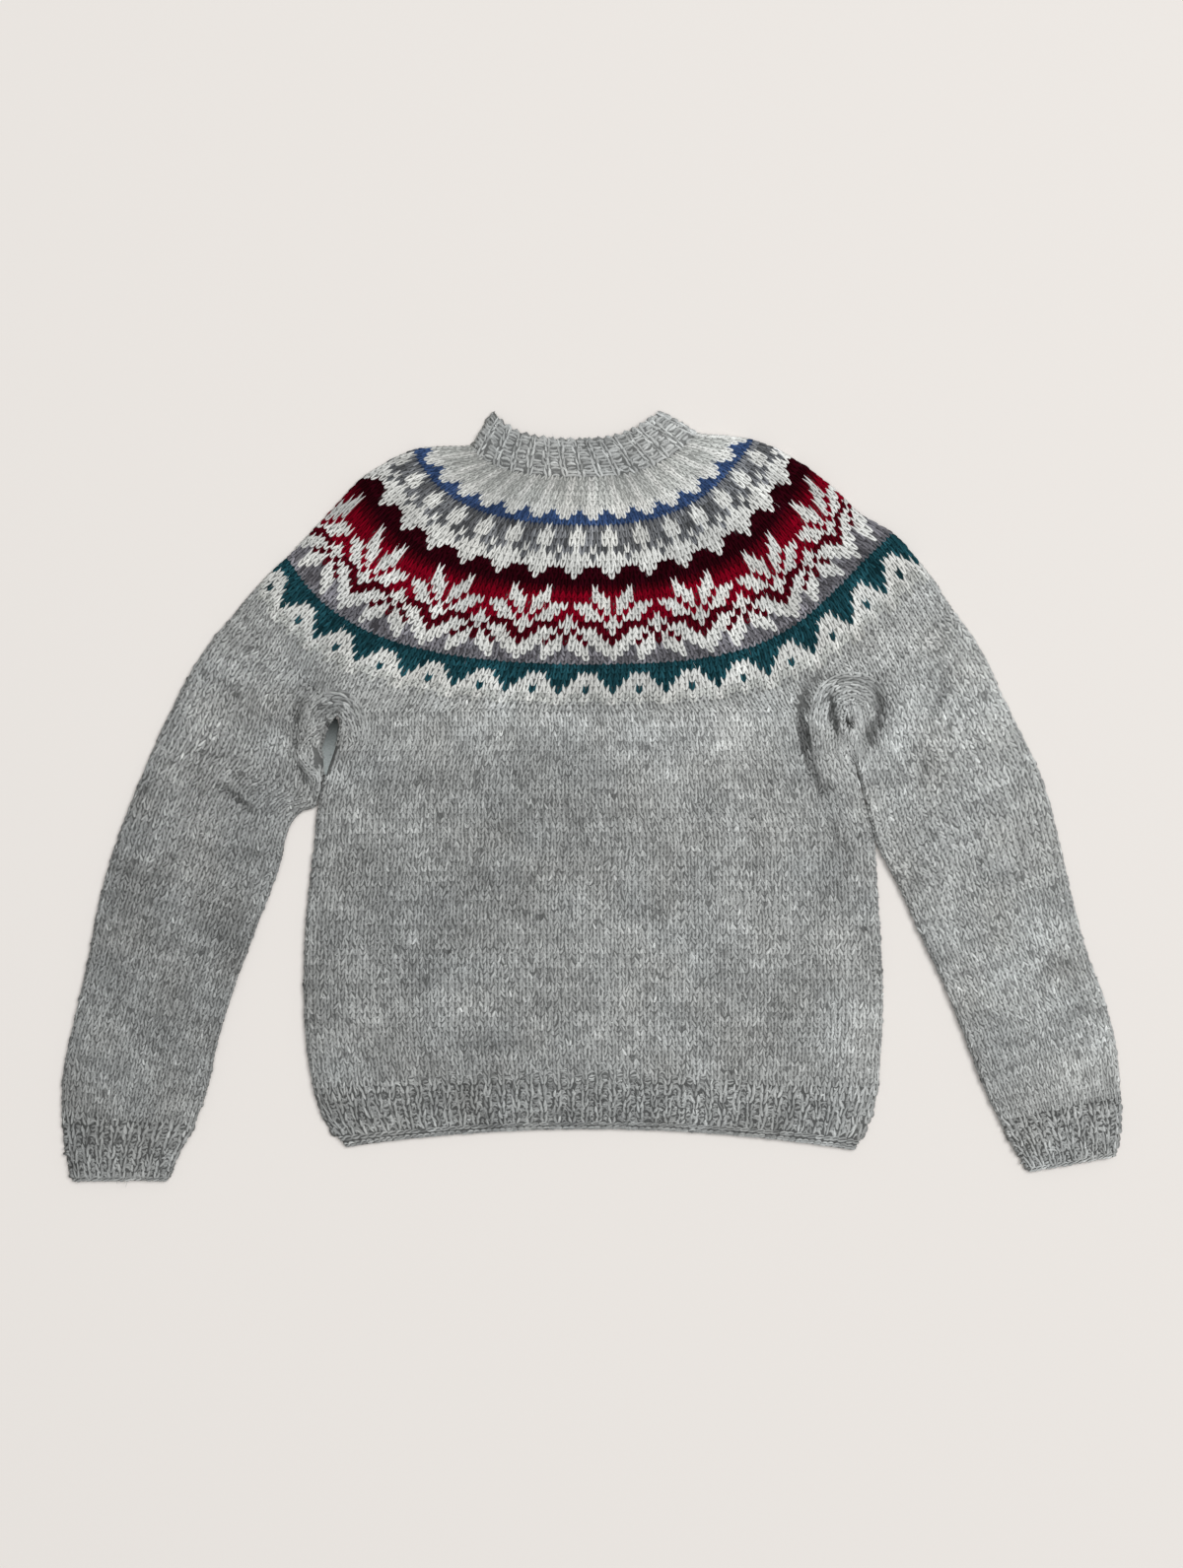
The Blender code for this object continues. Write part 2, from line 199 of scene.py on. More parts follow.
# Finer creases, in the same columns
CREASES = mounds(
    # round the right underarm
    (204, 105, 16, 6.5, -3.6, 58), (192.5, 82, 22, 6.5, -5.6, 86), (191.5, 65, 20, 6.2, -4, 92),
    (194.5, 45, 20, 6.5, -5, 101), (185, 43, 12, 8, -1.4, 0), (200, 23, 16, 7, -3, 112),
    (208.5, 5, 18, 10.5, -3, 120), (222.5, -34, 26, 7.5, -2, 111), (218.2, 73.5, 26, 4, -9, 99),
    (233.1, 65.8, 6, 4.2, -10, 110), (261.5, 84, 26, 10, -4, 92), (255.5, 56, 22, 9.5, -4.2, 66),
    (240, 101, 16, 3, -1.4, 172), (244, 113, 18, 5, -1.6, 160), (278.5, 88, 22, 7, 2.2, 75),
    (206, 85, 24, 4.5, 1.8, 80),
    # round the left underarm
    (-237, 48, 26, 8.5, -6, 83), (-266.3, 67, 30, 7, -2.6, 90), (-268, 47, 18, 4, -1.6, 82),
    (-259, 15, 18, 4, -2.4, 120), (-264, 80, 20, 5, -1.8, 60), (-242, 100, 22, 4.5, -1.4, 12),
    (-208, 72, 18, 5, -1.4, 118),
    # on the right sleeve, then the left one
    (317, 90, 34, 6.4, -3, 72), (302, 25, 34, 6, -3, 81), (305, -30, 26, 6, -1.2, 104),
    (360, -70, 34, 9, -1, 118), (408, -170, 30, 9, -1, 66),
    (-318, -5, 36, 6.4, -3, 142), (-352, 45, 30, 9, -1, 130), (-390, -70, 30, 10, -1, 100),
    (-370, -170, 34, 9, -1, 60), (-430, -230, 26, 8, -0.9, 96),
    # on the body and its hem
    (21, -198, 50, 5, -1.8, 92), (5, -90, 50, 8, -0.8, 86), (105, -60, 60, 7, -1.4, 94),
    (130, -160, 40, 12, 1, 80), (-150, -170, 50, 12, -0.8, 74), (-90, -30, 60, 8, -0.8, 20),
    (190, -220, 40, 8, -1, 60), (-200, -240, 30, 7, -1, 120), (206, -289.5, 34, 15, -1.2, -8),
    (-236, -288, 26, 12, -1, -50), (-150, -284, 40, 14, -0.6, 0),
)
DEEPEST = 0.0036  # a trough goes no deeper than this
# painted shade: how much darker the wool is painted in a trough, for each metre of its depth and each
# square metre
CREASE_PAINTED_SHADE = (100.0, 25000.0)

# ---- Rows of knitting as paths in plan, as in part.py, but listed upwards ----


def evened(points):
    """The path with its samples evenly spaced."""
    points = np.asarray(points, float)
    steps = np.linalg.norm(np.diff(points, axis=0), axis=1)
    travelled = np.concatenate(([0.0], np.cumsum(steps)))
    at = np.linspace(0.0, travelled[-1], 2 * PATH_SAMPLES + 1)
    return np.column_stack([np.interp(at, travelled, points[:, k]) for k in (0, 1)])


def straight_row(row):
    left_x, left_y, right_x, right_y, sag = row
    share = np.linspace(0.0, 1.0, PATH_SAMPLES)
    x = left_x + (right_x - left_x) * share
    y = left_y + (right_y - left_y) * share - sag * 4.0 * share * (1.0 - share)
    return evened(np.column_stack((x, y)))


def sleeve_row(row):
    outer_x, outer_y, inner_x, inner_y = row
    inner_x += math.copysign(CREASE_CLEARANCE, outer_x)
    ends = sorted(((outer_x, outer_y), (inner_x, inner_y)))
    return straight_row((*ends[0], *ends[1], 0.0))


def half_round(end, middle, bend):
    lean, fall, flat = bend
    end, middle = np.array(end), np.array(middle)
    first = end + (middle - end) * (lean, fall)
    second = middle + (end - middle) * (flat, 0.0)
    t = np.linspace(0.0, 1.0, PATH_SAMPLES)[:, None]
    s = 1.0 - t
    return s**3 * end + 3 * s * s * t * first + 3 * s * t * t * second + t**3 * middle


def yoke_round(row, bend):
    left = half_round(row[0:2], row[2:4], LEFT_BEND)
    right = half_round(row[4:6], row[2:4], bend)
    return evened(np.concatenate((left, right[-2::-1])))


def join_round():
    left_underarm, right_underarm = BODY_ROWS[0][0:2], BODY_ROWS[0][2:4]
    left_shoulder, right_shoulder = SLEEVE_LEFT_ROWS[0][0:2], SLEEVE_RIGHT_ROWS[0][0:2]
    return evened((left_shoulder, left_underarm, right_underarm, right_shoulder))


def rows_between(paths, steps):
    """The rows with smooth ones added between them, by a Catmull-Rom curve along each wale."""
    known = [2 * paths[0] - paths[1], *paths, 2 * paths[-1] - paths[-2]]
    rows = []
    for before, here, there, beyond in zip(known, known[1:], known[2:], known[3:]):
        for t in np.arange(steps) / steps:
            slope, pull = there - before, before - 2.5 * here + 2.0 * there - 0.5 * beyond
            twist = 1.5 * (here - there) + 0.5 * (beyond - before)
            rows.append(here + 0.5 * t * slope + t * t * pull + t**3 * twist)
    return rows + [paths[-1]]

# ---- The cloth as a surface ----


def mix(low, high, share):
    return low * (1 - share) + high * share


def soft_sum(table, x, y):
    total = 0.0
    for centre_x, centre_y, half_length, half_width, rise, turn in table:
        cos, sin = math.cos(turn), math.sin(turn)
        along = ((x - centre_x) * cos + (y - centre_y) * sin) / half_length
        across = ((y - centre_y) * cos - (x - centre_x) * sin) / half_width
        total = total + rise * np.exp(-2.0 * (along**2 + across**2))
    return total


def bunch_height(x, y):
    return np.maximum(soft_sum(BUNCHES + CREASES, x, y), -DEEPEST)


def plan(cloth, v, q):
    """x and y of the place there."""
    return np.moveaxis(cloth.place(v, q)[..., :2], -1, 0)


def facing(cloth, v, q):
    """The place there, and the way out of the cloth."""
    v_step, q_step = cloth.steps
    across = cloth.place(v, q + q_step) - cloth.place(v, q - q_step)
    up = cloth.place(v + v_step, q) - cloth.place(v - v_step, q)
    out = np.cross(across, up)
    out /= np.maximum(np.linalg.norm(out, axis=-1), 1e-12)[..., None]
    return cloth.place(v, q), out


class Cloth:
    """A tube laid flat. A place on it is a height v, in its table's rows counted upwards,
    and a turn q: 0 to 1 across the front from the left fold, 1 to 2 back underneath."""

    steps = (0.05, 0.002)

    def __init__(self, paths, edge_drop=0.0, edge_at=0.0):
        self.rows = np.array(rows_between(paths, ROW_STEPS))
        self.lengths = np.linalg.norm(np.diff(self.rows, axis=1), axis=2).sum(axis=1)
        self.gaps = np.linalg.norm(np.diff(self.rows, axis=0), axis=2).mean(axis=1)
        self.height = self.gaps.sum()
        self.top = (len(self.rows) - 1) / ROW_STEPS
        self.edge_drop = edge_drop  # how far the front layer falls towards the tube's open end
        self.edge_at = edge_at  # the v of that end
        self.sink(RELIEF)

    def sink(self, depth):
        """Sets how far the cloth lies inside the solid's face."""
        self.depth = depth
        self.half = LAID_HEIGHT / 2 - depth

    def in_plan(self, v, share):
        """Where a share of a row's length is, in plan."""
        row = np.asarray(v) * ROW_STEPS
        low = np.clip(np.floor(row).astype(int), 0, len(self.rows) - 2)
        up = (row - low)[..., None]
        column = share * (self.rows.shape[1] - 1)
        left = np.clip(np.floor(column).astype(int), 0, self.rows.shape[1] - 2)
        right = (column - left)[..., None]
        first = mix(self.rows[low, left], self.rows[low + 1, left], up)
        second = mix(self.rows[low, left + 1], self.rows[low + 1, left + 1], up)
        return mix(first, second, right)

    def place(self, v, q):
        q = np.mod(q, 2.0)
        back = q > 1.0
        along = np.where(back, 2.0 - q, q)
        half = self.half
        length = np.interp(v * ROW_STEPS, np.arange(len(self.rows)), self.lengths)
        arc = (math.pi - 2.0) * half + length - 2.0 * self.depth
        near = np.minimum(along, 1.0 - along) * arc
        turn = np.clip(near / half, 0.0, math.pi / 2)
        run = self.depth + half * (1.0 - np.cos(turn)) + np.maximum(near - half * math.pi / 2, 0.0)
        share = np.where(along < 0.5, run, length - run) / length
        x, y = np.moveaxis(self.in_plan(v, share), -1, 0)
        lift = np.sin(turn)
        rise = half + bunch_height(x, y)
        rise = rise - self.edge_drop * np.clip(1.0 - np.abs(v - self.edge_at) / EDGE_FALL, 0.0, 1.0) ** 2
        z = LAID_HEIGHT / 2 + np.where(back, -half * lift, rise * lift)
        return np.stack((x, y, z), axis=-1)

    def levels(self, step, first=0.0):
        """The v of even steps up the cloth, from this share of its height to its top."""
        count = max(2, round(self.height * (1.0 - first) / step))
        climbed = np.concatenate(([0.0], np.cumsum(self.gaps)))
        wanted = np.linspace(first * self.height, self.height, count + 1)
        return np.interp(wanted, climbed, np.arange(len(self.rows)) / ROW_STEPS)


class Band:
    """A strip of knitting on top of the rest, where wales bend round an underarm. v is 0 to 1
    along its middle line, q is 0 to 1 across it from its left edge."""

    steps = (0.03, 0.05)

    def __init__(self, table, crown, base=None):
        rows = rows_between([np.array([row]) for row in table], ROW_STEPS)
        self.line = np.array(rows)[:, 0]
        steps = np.linalg.norm(np.diff(self.line[:, :2], axis=0), axis=1)
        self.travelled = np.concatenate(([0.0], np.cumsum(steps)))
        self.length = self.travelled[-1]
        self.crown = crown  # how much higher its middle line is than its edges
        self.base = base  # its height at either end, where it doesn't follow the cloth

    def turned(self):
        """The same band, seen from its other end."""
        other = copy.copy(self)
        other.line = self.line[::-1]
        other.travelled = self.length - self.travelled[::-1]
        return other

    def along(self, at, columns):
        return (np.interp(at, self.travelled, self.line[:, k]) for k in columns)

    def place(self, v, q):
        at, near = v * self.length, 0.004
        x, y, half_width = self.along(at, (0, 1, 2))
        (next_x, next_y), (last_x, last_y) = self.along(at + near, (0, 1)), self.along(at - near, (0, 1))
        ahead_x, ahead_y = next_x - last_x, next_y - last_y
        long = np.maximum(np.hypot(ahead_x, ahead_y), 1e-9)
        aside = 2.0 * q - 1.0
        side = aside * half_width
        x, y = x + ahead_y / long * side, y - ahead_x / long * side
        if self.base is None:
            z = LAID_HEIGHT - RELIEF + bunch_height(x, y) + self.crown * (1.0 - aside**2)
        else:
            z = mix(*self.base, v) + 0.0 * x
        return np.stack((x, y, z), axis=-1)

    def covers(self, x, y):
        """Which of these places lie under the band, a little inside its edges."""
        apart = np.hypot(x[:, None] - self.line[None, :, 0], y[:, None] - self.line[None, :, 1])
        nearest = apart.argmin(axis=1)
        beside = (nearest > 1) & (nearest < len(self.line) - 2)
        return beside & (apart[np.arange(len(x)), nearest] < self.line[nearest, 2] - BAND_OVERLAP)


# x, y, half_width of a band's middle line, from its start
RIGHT_GRAFT = metres(
    (216, 38, 15), (214, 60, 16.5), (214, 75.4, 16.5), (220.1, 90.2, 16.5), (235, 96.4, 16.5),
    (249.9, 90.2, 16.5), (256.1, 75.4, 16.5), (259, 58, 16), (264, 38, 14),
)
LEFT_GRAFT = metres(
    (-252.9, 66.5, 9.8), (-244.9, 76.3, 11.6), (-234.2, 83.4, 12.5), (-224.3, 83.4, 12.5),
    (-217.2, 76.3, 11.6), (-211.9, 63.8, 10.7), (-209.2, 49.5, 8.9),
)
# Stitches drawn together over the gap between the right sleeve and the body
RIGHT_BRIDGE = metres((234.5, 62, 6), (236.2, 50, 8), (238.8, 38, 7), (240.5, 30, 3))
LEFT_ROLL = metres(
    (-240, 64, 3), (-247, 59.5, 4.4), (-256, 51.5, 4.8), (-263, 42.4, 4.6), (-262.2, 32.5, 4.4),
    (-255.2, 24, 4.4), (-248.4, 16, 4.6), (-249.7, 4.3, 3.4),
)
# Bare cloth in the painted shade of that roll: the stitches are left off, and the darker cloth under
# them shows
LEFT_SHADE = metres(
    (-248, 45, 2.5), (-249, 39, 5.2), (-247.8, 32, 5.2), (-245.8, 25, 3.8), (-244.5, 19, 2),
)
# The small opening between the left sleeve and the body, closed low down by smooth cloth
LEFT_HOLLOW = metres(
    (-233.5, 70, 4), (-235, 60, 6.6), (-236.5, 45, 7.8), (-238.5, 30, 6.2), (-240.5, 19, 3.6),
)
# painted shade of the cloth in that hollow: its lightness along it from its top, darkest at the top
HOLLOW_AT, HOLLOW_PAINTED_SHADE = (0.0, 0.12, 0.35, 0.6, 1.0), (0.14, 0.38, 1.15, 2.0, 2.6)

# ---- Colours ----


def linear(hexcode):
    values = np.array([int(hexcode[k : k + 2], 16) for k in (0, 2, 4)]) / 255.0
    return np.where(values <= 0.04045, values / 12.92, ((values + 0.055) / 1.055) ** 2.4)


# Yarns: colour, how much it is marled from leg to leg
YARNS = {
    "G": ("9d9f9e", 0.15),  # heather grey, the body's
    "W": ("c8c9c6", 0.07),
    "K": ("b0b2af", 0.12),  # pale heather
    "T": ("1b4048", 0.26),
    "L": ("68676c", 0.30),  # lilac heather
    "M": ("28020a", 0.18),
    "C": ("46030f", 0.16),
    "R": ("700217", 0.14),
    "D": ("66686b", 0.28),  # dark heather
    "B": ("34486c", 0.18),
}
YARN_KEYS = "".join(YARNS)
YARN_COLOURS = np.array([linear(colour) for colour, _ in YARNS.values()])
YARN_MARLS = np.array([marl for _, marl in YARNS.values()])
GREY, GREY_MARL = YARN_COLOURS[0], YARN_MARLS[0]

# The yoke's chart, a line for each row from the lowest up. A line holds half of a repeat, from
# its axis of symmetry outwards. A half unit is from one teal point to the next.
# stitches in a half unit, half units in a repeat, the axis's shift in stitches, lines
FLOWERS = """
    LLLLLLLL WLLLWLLL WWLLWWLL WWWLWWWL CWWWCWWC
    CCWWWCWC WCCWWWCW WWCCCCWW WRWWWRRW RWRWWWRR
    RWWRWWWR RWWWRRRR RRWWRRRR CCCWCCCC MMMMMMMM
"""
CHART = (
    (8, 1, 0.0, "WKGGK WKKKW WWKKW TWWWT TTWWW TTTWW TTTTT TTTTT"),
    (7, 2, 0.0, FLOWERS),
    (6, 1, 0.0, "WMMM WWMM WWWW WWWD WDDW WWDD WWDD WDDD"),
    (5, 1, 0.0, "BBB BBW BWW KWW"),
    (4, 1, 0.0, "KKW KKW KKW"),
    (3, 1, 0.5, "KW KW KW"),
)
FIRST_UNIT = CHART[0][0]
SMALL_FROM = 37  # the chart row where the knit stitches are as small as the body's
HALF_UNITS = 30  # round the whole yoke
# How the pattern lies: the half unit at the left fold, at each of ROUND_ROWS
TURN = (0.25, 0.21, 0.17, 0.11, 0.01, -0.08, -0.23, -0.23)
FRONT_UNITS = 14.87  # half units across the front
EASE = 5.0  # how unevenly they lie there


def chart_rows():
    """Each row of the chart: its stitches in a half unit, repeat, shift and line."""
    return [(n, units, shift, line) for n, units, shift, lines in CHART for line in lines.split()]


def yarn_at(row, unit):
    """Index of the yarn of the stitch at this half unit of a chart row."""
    per_unit, units, shift, line = row
    stitch = np.floor(unit * per_unit + 0.5 - shift) + shift
    repeat = per_unit * units
    from_axis = np.abs((stitch + repeat / 2) % repeat - repeat / 2)
    keys = np.array([YARN_KEYS.index(key) for key in line])
    return keys[np.minimum(np.floor(from_axis + 1e-6).astype(int), len(line) - 1)]


def turn_of(row, unit):
    """The turn q at which a half unit of the pattern lies, by chart row."""
    start = np.interp(row, ROUND_ROWS, TURN)
    share = np.linspace(0.0, 1.0, 401)
    units = FRONT_UNITS * share + EASE * share * (1.0 - share) * (0.5 - share)
    unit = np.mod(unit - start, HALF_UNITS)
    front = np.interp(unit, units, share)
    back = 1.0 + (unit - FRONT_UNITS) / (HALF_UNITS - FRONT_UNITS)
    return np.where(unit < FRONT_UNITS, front, back)


def patchy(x, y, size, seed):
    """Soft noise of about -1 to 1, with patches of this size."""
    table = np.random.default_rng(seed).uniform(-1.0, 1.0, (64, 64))
    u, w = x / size + 31.7, y / size + 17.3
    i, j = np.floor(u).astype(int), np.floor(w).astype(int)
    s, t = u - i, w - j
    s, t = s * s * (3 - 2 * s), t * t * (3 - 2 * t)
    low, high = (mix(table[i % 64, k % 64], table[(i + 1) % 64, k % 64], s) for k in (j, j + 1))
    return mix(low, high, t)

# ---- Stitches ----


def leaf(line, width, heights, stations, blunt=0.9, low=-0.25):
    """A soft ridge of yarn that tapers to both ends, in millimetres.

    line is x, y of three points of its middle, heights are those of its ends and stations,
    blunt shapes its ends and low is the height of its sides. Gives its points, triangles, and
    for each point the place across and along it.
    """
    start, bend, end = np.reshape(line, (3, 2)).astype(float)
    at = np.array([0.0, *stations, 1.0])[:, None]
    middle = (1 - at) ** 2 * start + 2 * (1 - at) * at * bend + at**2 * end
    ahead = 2 * (1 - at) * (bend - start) + 2 * at * (end - bend)
    ahead /= np.linalg.norm(ahead, axis=1)[:, None]
    side = np.column_stack((ahead[:, 1], -ahead[:, 0]))
    points, spots = [(*middle[0], heights[0])], [(0.0, 0.0)]
    for k in range(1, len(at) - 1):
        half = 0.5 * width * math.sin(math.pi * at[k, 0] ** 0.9) ** blunt
        for way, height in ((-1, low), (0, heights[k]), (1, low)):
            points.append((*(middle[k] + way * half * side[k]), height))
            spots.append((way * half, at[k, 0] * 6.0))
    points.append((*middle[-1], heights[-1]))
    spots.append((0.0, 6.0))
    last = len(points) - 1
    faces = [(0, 1, 2), (0, 2, 3)]
    for k in range(1, len(at) - 2):
        for n in (3 * k - 2, 3 * k - 1):
            faces += [(n, n + 3, n + 4), (n, n + 4, n + 1)]
    faces += [(last - 3, last, last - 2), (last - 2, last, last - 1)]
    return np.array(points), np.array(faces), np.array(spots)


def together(*parts):
    """Several leaves as one template: points, faces, spots, and the leaf of each point."""
    points, faces, spots, which, count = [], [], [], [], 0
    for k, (p, f, s) in enumerate(parts):
        points.append(p)
        faces.append(f + count)
        spots.append(s)
        which.append(np.full(len(p), k))
        count += len(p)
    return tuple(np.concatenate(x) for x in (points, faces, spots, which))


def both_legs(*leg):
    points, faces, spots = leaf(*leg)
    return together((points, faces, spots), (points * (-1, 1, 1), faces[:, ::-1], spots * (-1, 1)))


def one_way_each(lines, *shape):
    return [together(leaf(line, *shape)) for line in lines]


# A leg of a knit stitch starts low in the middle, over the row below, and ends high and
# outside, under the row above
CHART_LINE = (0.45, -0.9, 1.85, 1.5, 2.7, 6.7)
LEG_LINE = (0.45, -0.8, 1.8, 1.2, 2.5, 5.7)
RIB_LINE = (0.6, -1.3, 2.5, 0.9, 2.2, 6.9)
THREE, TWO = (0.22, 0.5, 0.78), (0.3, 0.68)
CHART_KNIT = both_legs(CHART_LINE, 3.0, (0.9, 1.6, 1.6, 1.1, 0.3), THREE, 0.75)
KNIT = both_legs(LEG_LINE, 2.9, (0.9, 1.6, 1.6, 1.1, 0.2), THREE, 0.65)
KNIT_PLAIN = both_legs(LEG_LINE, 3.0, (0.75, 1.45, 1.1, 0.3), TWO)
RIB_KNIT = both_legs(RIB_LINE, 3.0, (0.4, 2.0, 2.5, 2.0, 0.5), THREE, 0.6)
PURL = together(
    leaf((-3.3, -0.5, 0, 2.5, 3.3, -0.2), 2.9, (0.4, 1.7, 2.2, 1.7, 0.4), THREE, 0.45, -0.1),
    leaf((-3.2, 4.4, 0.3, 2.7, 3.2, 4.1), 2.7, (0.2, 1.2, 1.6, 1.2, 0.2), THREE, 0.45, -0.1),
)
# Purl stitches of a loose rib: bows of yarn, each bent its own way
BOW = (2.8, (0.4, 1.8, 2.3, 1.8, 0.4), THREE, 0.6, -0.1)
LOW_BOW = (2.9, (0.2, 1.1, 1.5, 1.1, 0.2), THREE, 0.6, -0.1)
PURLS = [
    together(leaf(high, *BOW), leaf(low, *LOW_BOW))
    for high, low in (
        ((-2.6, -0.8, 0, 6.2, 2.6, -0.6), (-2.4, 4.9, 0.4, 3.6, 2.6, 5.1)),
        ((-2.9, 1.6, 0.6, 4.2, 2.7, -1.2), (-2.6, 3.6, 0, 5, 2.7, 3.4)),
        ((-2.6, -1, -0.8, 4.4, 2.9, 2), (-2.8, 4.6, -1.2, 2.6, 1.6, 4.6)),
        ((-2.8, 1.9, 0.2, -2.4, 2.7, 2.2), (-2.5, 2.6, 0.8, 5.2, 2.8, 4)),
    )
]
# A link of the chain along an open end, and a lobe of the collar's edge
LINK_SHAPE = (2.3, (0.7, 1.2, 1.5, 1.2, 0.3), THREE, 0.7)
LINK = together(
    leaf((-4, -0.6, 0.2, 3, 3.7, 0.9), *LINK_SHAPE),
    leaf((-3.7, -1.3, 0, -2.2, 4, 0.2), *LINK_SHAPE),
)
LOBE = together(
    leaf((-2.7, -2.9, 0, 7.4, 2.7, -2.9), 2.7, (0.3, 1.2, 1.8, 1.2, 0.3), THREE, 0.5),
    leaf((-2.2, -1.4, 0, 0.4, 2.2, -1.4), 3.2, (0.3, 1.1, 1.5, 1.1, 0.3), THREE, 0.6),
)
# Short bends of yarn that stand out of the ribs
BEND_LINES = (
    (-1.6, 0, 0, 2.2, 1.8, 0.3), (-1.4, 1.2, 0.3, -1.6, 1.6, 1),
    (0.2, -1.9, 1.7, 0.2, 0, 2), (1.3, -1.7, -0.4, -0.3, -1.2, 1.8),
)
BENDS = one_way_each(BEND_LINES, 1.9, (0.6, 2.1, 2.4, 2.1, 0.6), THREE, 0.7, 0.2)
# Finer ones for plain knitting
CURL_LINES = (
    (-1.7, -0.4, 0.2, 2.6, 1.9, 0.2), (-1.5, 1.6, 0.4, -1.8, 1.7, 1.2),
    (0.4, -2.2, 1.9, 0.2, -0.4, 2.4), (1.2, -1.8, -1.6, -0.6, -0.4, 2.2),
)
CURLS = one_way_each(CURL_LINES, 1.2, (0.5, 1.8, 2.0, 1.8, 0.5), THREE, 0.6, 0.5)
# Loose fibres that lie over the stitches
HAIR_LINES = (
    (0, 0, 3, 2, 4.5, 6), (0, 0, -2, 3, -5.5, 4), (0, 0, 4, -1, 7.5, 1.5),
    (0, 0, 1, 5, -1, 9), (0, 0, -4, 0.5, -6, -3), (0, 0, 2, -4, 0.5, -7.5),
)
HAIRS = one_way_each(HAIR_LINES, 0.26, (0.3, 1.7, 2.2, 1.9), TWO, 0.4, 0.6)


class Stitches:
    """Many stitches on a cloth. Each has its bottom middle (v, q), is dv high and dq wide, and
    leans by a turn q at its top. marl says how much its colour differs from leg to leg."""

    def __init__(self, cloth, v, dv, q, dq, colour, marl, lean=0.0):
        self.cloth = cloth
        self.number = len(q)
        columns = dict(v=v, dv=dv, q=q, dq=dq, marl=marl, lean=lean)
        self.columns = {name: np.broadcast_to(column, self.number) for name, column in columns.items()}
        self.columns["colour"] = colour

    def __getattr__(self, name):
        return self.columns[name]

    def only(self, here):
        return Stitches(self.cloth, **{name: column[here] for name, column in self.columns.items()})

    def but(self, **changed):
        return Stitches(self.cloth, **{**self.columns, **changed})


class Knitting:
    """Points, triangles and colours of many stitches, gathered for one mesh."""

    def __init__(self):
        self.points, self.faces, self.colours, self.fibres = [], [], [], []
        self.count = 0

    def add(self, stitches, template, cell=PLAIN_CELL, loose=1.0):
        """Adds stitches of one template. The looser, the more they differ."""
        points, faces, spots, leg = template
        number = stitches.number
        if not number:
            return
        width, height = cell

        def varied(share):
            return share * loose * rng.standard_normal((number, 1))

        up = points[:, 1] / height
        a = points[:, 0] / width * (1.0 + varied(0.08)) + varied(0.06) * (up - 0.5) + varied(0.04)
        b = up * (1.0 + varied(0.06)) + varied(0.05)
        h = points[:, 2] * (1.0 + varied(0.12)) * 1e-3
        vv = stitches.v[:, None] + b * stitches.dv[:, None]
        qq = stitches.q[:, None] + a * stitches.dq[:, None] + b * stitches.lean[:, None]
        place, out = facing(stitches.cloth, vv, qq)
        place = place + out * h[..., None]
        place[..., 2] = np.maximum(place[..., 2], LOWEST)
        tone = rng.standard_normal((number, leg.max() + 1)) * stitches.marl[:, None]
        shade = 1.0 + np.clip(tone, -0.55, 0.6)[:, leg]
        # painted shade and highlight: a leg's edges are painted darker than its yarn and its ridge
        # lighter
        contrast = min(loose, 1.6)
        edge = np.abs(spots[:, 0]) > 0.05
        shade = shade * np.where(edge, 0.84 - 0.08 * contrast, 1.0 + 0.07 * contrast)
        shaded = stitches.colour[:, None, :] * shade[..., None]
        seed = rng.uniform(0.0, 50.0, (number, 1))
        across, along = (np.broadcast_to(column, (number, len(spots))) for column in spots.T)
        fibre = np.stack((across, along, seed + 7.0 * leg), axis=-1)
        steps = self.count + len(points) * np.arange(number)
        self.points.append(place.reshape(-1, 3))
        self.colours.append(np.clip(shaded, 0.0, 1.0).reshape(-1, 3))
        self.fibres.append(fibre.reshape(-1, 3))
        self.faces.append((faces[None] + steps[:, None, None]).reshape(-1, 3))
        self.count += number * len(points)

    def add_hairs(self, stitches, share):
        """Adds paler, loose fibres over this share of the stitches."""
        for hair in HAIRS:
            some = stitches.only(rng.random(stitches.number) < share / len(HAIRS))
            pale = np.clip(some.colour * 1.35 + 0.01, 0.0, 0.9)
            self.add(some.but(colour=pale, marl=0.2, lean=0.0), hair)

    def add_bends(self, stitches, kinds, share, up, aside, shades, cell, loose):
        """Adds each kind of bend on this share of the stitches, somewhere between the shares up
        of their height and as far aside, in their colour times one of these shades."""
        for kind in kinds:
            some = stitches.only(rng.random(stitches.number) < share)
            v = some.v + some.dv * rng.uniform(*up, some.number)
            q = some.q + some.dq * rng.uniform(-aside, aside, some.number)
            colour = some.colour * rng.uniform(*shades, (some.number, 1))
            self.add(some.but(v=v, q=q, colour=colour, lean=0.0), kind, cell, loose)

    def piece(self, name, slot, material):
        arrays = map(np.concatenate, (self.points, self.faces, self.colours))
        piece = add_piece(name, *arrays, slot, material)
        attribute = piece.data.attributes.new("fibre", "FLOAT_VECTOR", "POINT")
        attribute.data.foreach_set("vector", np.concatenate(self.fibres).astype(np.float32).ravel())
        return piece


def add_piece(name, points, faces, colours, slot, material):
    """A piece of triangles or quads, with a colour for each point."""
    mesh = bpy.data.meshes.new(name)
    mesh.vertices.add(len(points))
    mesh.vertices.foreach_set("co", np.ascontiguousarray(points, np.float32).ravel())
    mesh.loops.add(faces.size)
    mesh.loops.foreach_set("vertex_index", np.ascontiguousarray(faces, np.int32).ravel())
    mesh.polygons.add(len(faces))
    mesh.polygons.foreach_set("loop_start", np.arange(0, faces.size, faces.shape[1], dtype=np.int32))
    mesh.update(calc_edges=True)
    mesh.shade_smooth()
    attribute = mesh.color_attributes.new("yarn", "FLOAT_COLOR", "POINT")
    opaque = np.column_stack((colours, np.ones(len(colours)))).astype(np.float32)
    attribute.data.foreach_set("color", opaque.ravel())
    mesh.materials.append(material)
    piece = add_object(name, mesh)
    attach(piece, "root")
    return piece

# ---- Materials ----


